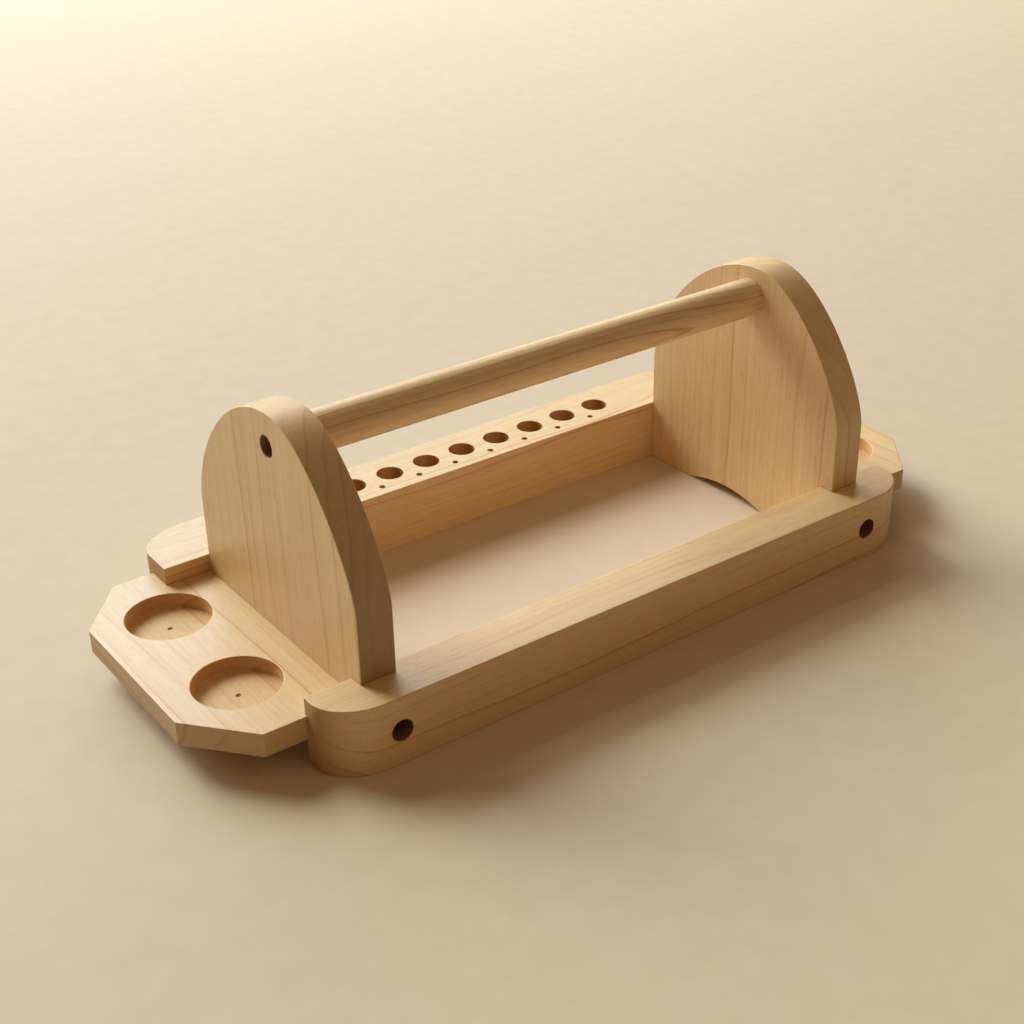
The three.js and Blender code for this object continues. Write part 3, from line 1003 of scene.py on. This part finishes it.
# %% Trays
CORNER_X = 27 * MM
CORNER_Y = 32 * MM
CUP_RADIUS = 21.5 * MM
CUP_DEPTH = 7.5 * MM
POINT_RIM = 0.2 * MM

for side, sign in SIDES.items():
    low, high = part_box(f"{side}_tray")
    near, far = sign * PANEL_OUTER, (high.x if sign > 0 else low.x)
    outline = [
        (near, low.y),
        (far - sign * CORNER_X, low.y),
        (far, low.y + CORNER_Y),
        (far, high.y - CORNER_Y),
        (far - sign * CORNER_X, high.y),
        (near, high.y),
    ]
    tray = board(f"{side}_tray_board", outline, low.z, high.z)
    tray.data.materials.append(tray_woods[side])
    cutters = [pin_drill(side, "front"), pin_drill(side, "back")]
    marks = []
    for place in ("front", "back"):
        cup = middle(f"{side}_{place}_cup")
        top = (cup.x, cup.y, high.z)
        profile = [(CUP_RADIUS, -PAST), (CUP_RADIUS, CUP_DEPTH)]
        cutters.append(turned("drill", profile, top, DOWN, CUP_SIDES))
        rim = CUP_DEPTH + POINT_RIM
        mark = [(POINT_RADIUS, 0), (POINT_RADIUS, rim), (0, CUP_DEPTH + POINT_DEPTH)]
        marks.append(turned("mark", mark, top, DOWN, PEG_SIDES))
    # The cups' walls and floors get painted shade.
    carve(tray, cutters, shaded_cup_woods[side])
    ease(tray, FINE_EASE)
    # The marks get painted shade, a soft brown dot.
    carve(tray, marks, cup_mark_shade_wood)
    flatten(tray)
    settle(tray, f"{side}_tray")

# %% [markdown]
# ## The screws
#
# A screw is a pan head with a cross recess and a threaded shank. The thread is one sheet of points
# wrapped round the shank, each pushed out by how close it is to the helix, which gives a real
# ridge without any boolean. The head is turned, and the cross is cut out of it.

# %% Screws
THREAD_PITCH = 1.6 * MM
THREAD_ROWS = 10
THREAD_CORE = 1.35 * MM
THREAD_FLANK = 0.28
TIP_LENGTH = 6 * MM
TIP_SHARE = 0.04
AROUND = 24
DOME = ((0.55, 1.0), (0.80, 0.92), (0.95, 0.70), (1.0, 0.40), (1.0, 0.0))
CROSS_LONG = 2.3 * MM
CROSS_SLIM = 0.55 * MM
CROSS_FLOOR = 0.4 * HEAD_HEIGHT


def shank_mesh(length):
    made = bmesh.new()
    rows = int(length / THREAD_PITCH * THREAD_ROWS)
    rings = []
    for row in range(rows + 1):
        along = length * row / rows
        taper = min(1.0, (length - along) / TIP_LENGTH)
        ring = []
        for i in range(AROUND):
            share = (along / THREAD_PITCH - i / AROUND) % 1.0
            ridge = max(0.0, 1 - abs(share - 0.5) / THREAD_FLANK)
            radius = (THREAD_CORE + (SHANK - THREAD_CORE) * ridge) * max(taper, TIP_SHARE)
            angle = 2 * math.pi * i / AROUND
            point = (radius * math.cos(angle), radius * math.sin(angle), along)
            ring.append(made.verts.new(point))
        rings.append(ring)
    for lower, upper in zip(rings, rings[1:]):
        for i in range(AROUND):
            j = (i + 1) % AROUND
            made.faces.new((lower[i], lower[j], upper[j], upper[i]))
    made.faces.new(rings[0])
    made.faces.new(rings[-1])
    return made


def make_screw(side, place):
    seat, drive, length = screw_line(side, place)
    aim = Matrix.Translation(seat) @ drive.to_track_quat("Z", "Y").to_matrix().to_4x4()
    made = shank_mesh(length)
    made.transform(aim)
    shank = mesh_object("shank", made)
    dome = [(HEAD_RADIUS * wide, -HEAD_HEIGHT * tall) for wide, tall in DOME]
    head = turned(f"{side}_{place}_screw_steel", dome, seat, drive, DRILL_SIDES)
    head.data.materials.append(steel)
    for x, y in ((CROSS_LONG, CROSS_SLIM), (CROSS_SLIM, CROSS_LONG)):
        arm = block("arm", (-x, -y, -HEAD_HEIGHT - PAST), (x, y, -CROSS_FLOOR))
        arm.data.transform(aim)
        carve(head, [arm], steel)
    whole = bmesh.new()
    whole.from_mesh(head.data)
    whole.from_mesh(shank.data)
    whole.to_mesh(head.data)
    whole.free()
    bpy.data.objects.remove(shank)
    head.data.materials.clear()
    head.data.materials.append(steel)
    head.data.shade_smooth()
    head.data.set_sharp_from_angle(angle=SHARP_ANGLE)
    settle(head, f"{side}_{place}_screw")


for side in SIDES:
    for place in ("front", "back", "bar"):
        make_screw(side, place)

# %% [markdown]
# ## The dowel pins
#
# Fluted pins, chamfered at both ends, join each tray to its panel. The flutes let glue escape. They
# are hidden once the frame is glued up, but they are part of how it is made.

# %% Dowel pins
FLUTES = 12
POINTS_PER_FLUTE = 6
FLUTE_DEPTH = 0.18 * MM
PIN_CHAMFER = 0.6 * MM
PIN_CHAMFER_RUN = 0.8 * MM
pin_wood = wood("pin_wood", "x", (-20, 60), 3.0, 0.4, 0.0)


def make_pin(side, place):
    low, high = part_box(f"{side}_tray_{place}_pin")
    centre = (low + high) / 2
    radius = (high.z - low.z) / 2
    half = (high.x - low.x) / 2
    body_end = half - PIN_CHAMFER_RUN
    stations = ((-half, PIN_CHAMFER), (-body_end, 0), (body_end, 0), (half, PIN_CHAMFER))
    points = FLUTES * POINTS_PER_FLUTE
    made = bmesh.new()
    rings = []
    for along, inset in stations:
        ring = []
        for i in range(points):
            angle = 2 * math.pi * i / points
            reach = radius - FLUTE_DEPTH * max(0.0, math.cos(angle * FLUTES)) - inset
            offset = Vector((along, reach * math.cos(angle), reach * math.sin(angle)))
            ring.append(made.verts.new(centre + offset))
        rings.append(ring)
    for lower, upper in zip(rings, rings[1:]):
        for i in range(len(lower)):
            j = (i + 1) % len(lower)
            made.faces.new((lower[i], lower[j], upper[j], upper[i]))
    made.faces.new(rings[0])
    made.faces.new(rings[-1])
    pin = mesh_object(f"{side}_tray_{place}_pin_dowel", made)
    pin.data.materials.append(pin_wood)
    pin.data.shade_smooth()
    pin.data.set_sharp_from_angle(angle=SHARP_ANGLE)
    settle(pin, f"{side}_tray_{place}_pin")


for side in SIDES:
    for place in ("front", "back"):
        make_pin(side, place)
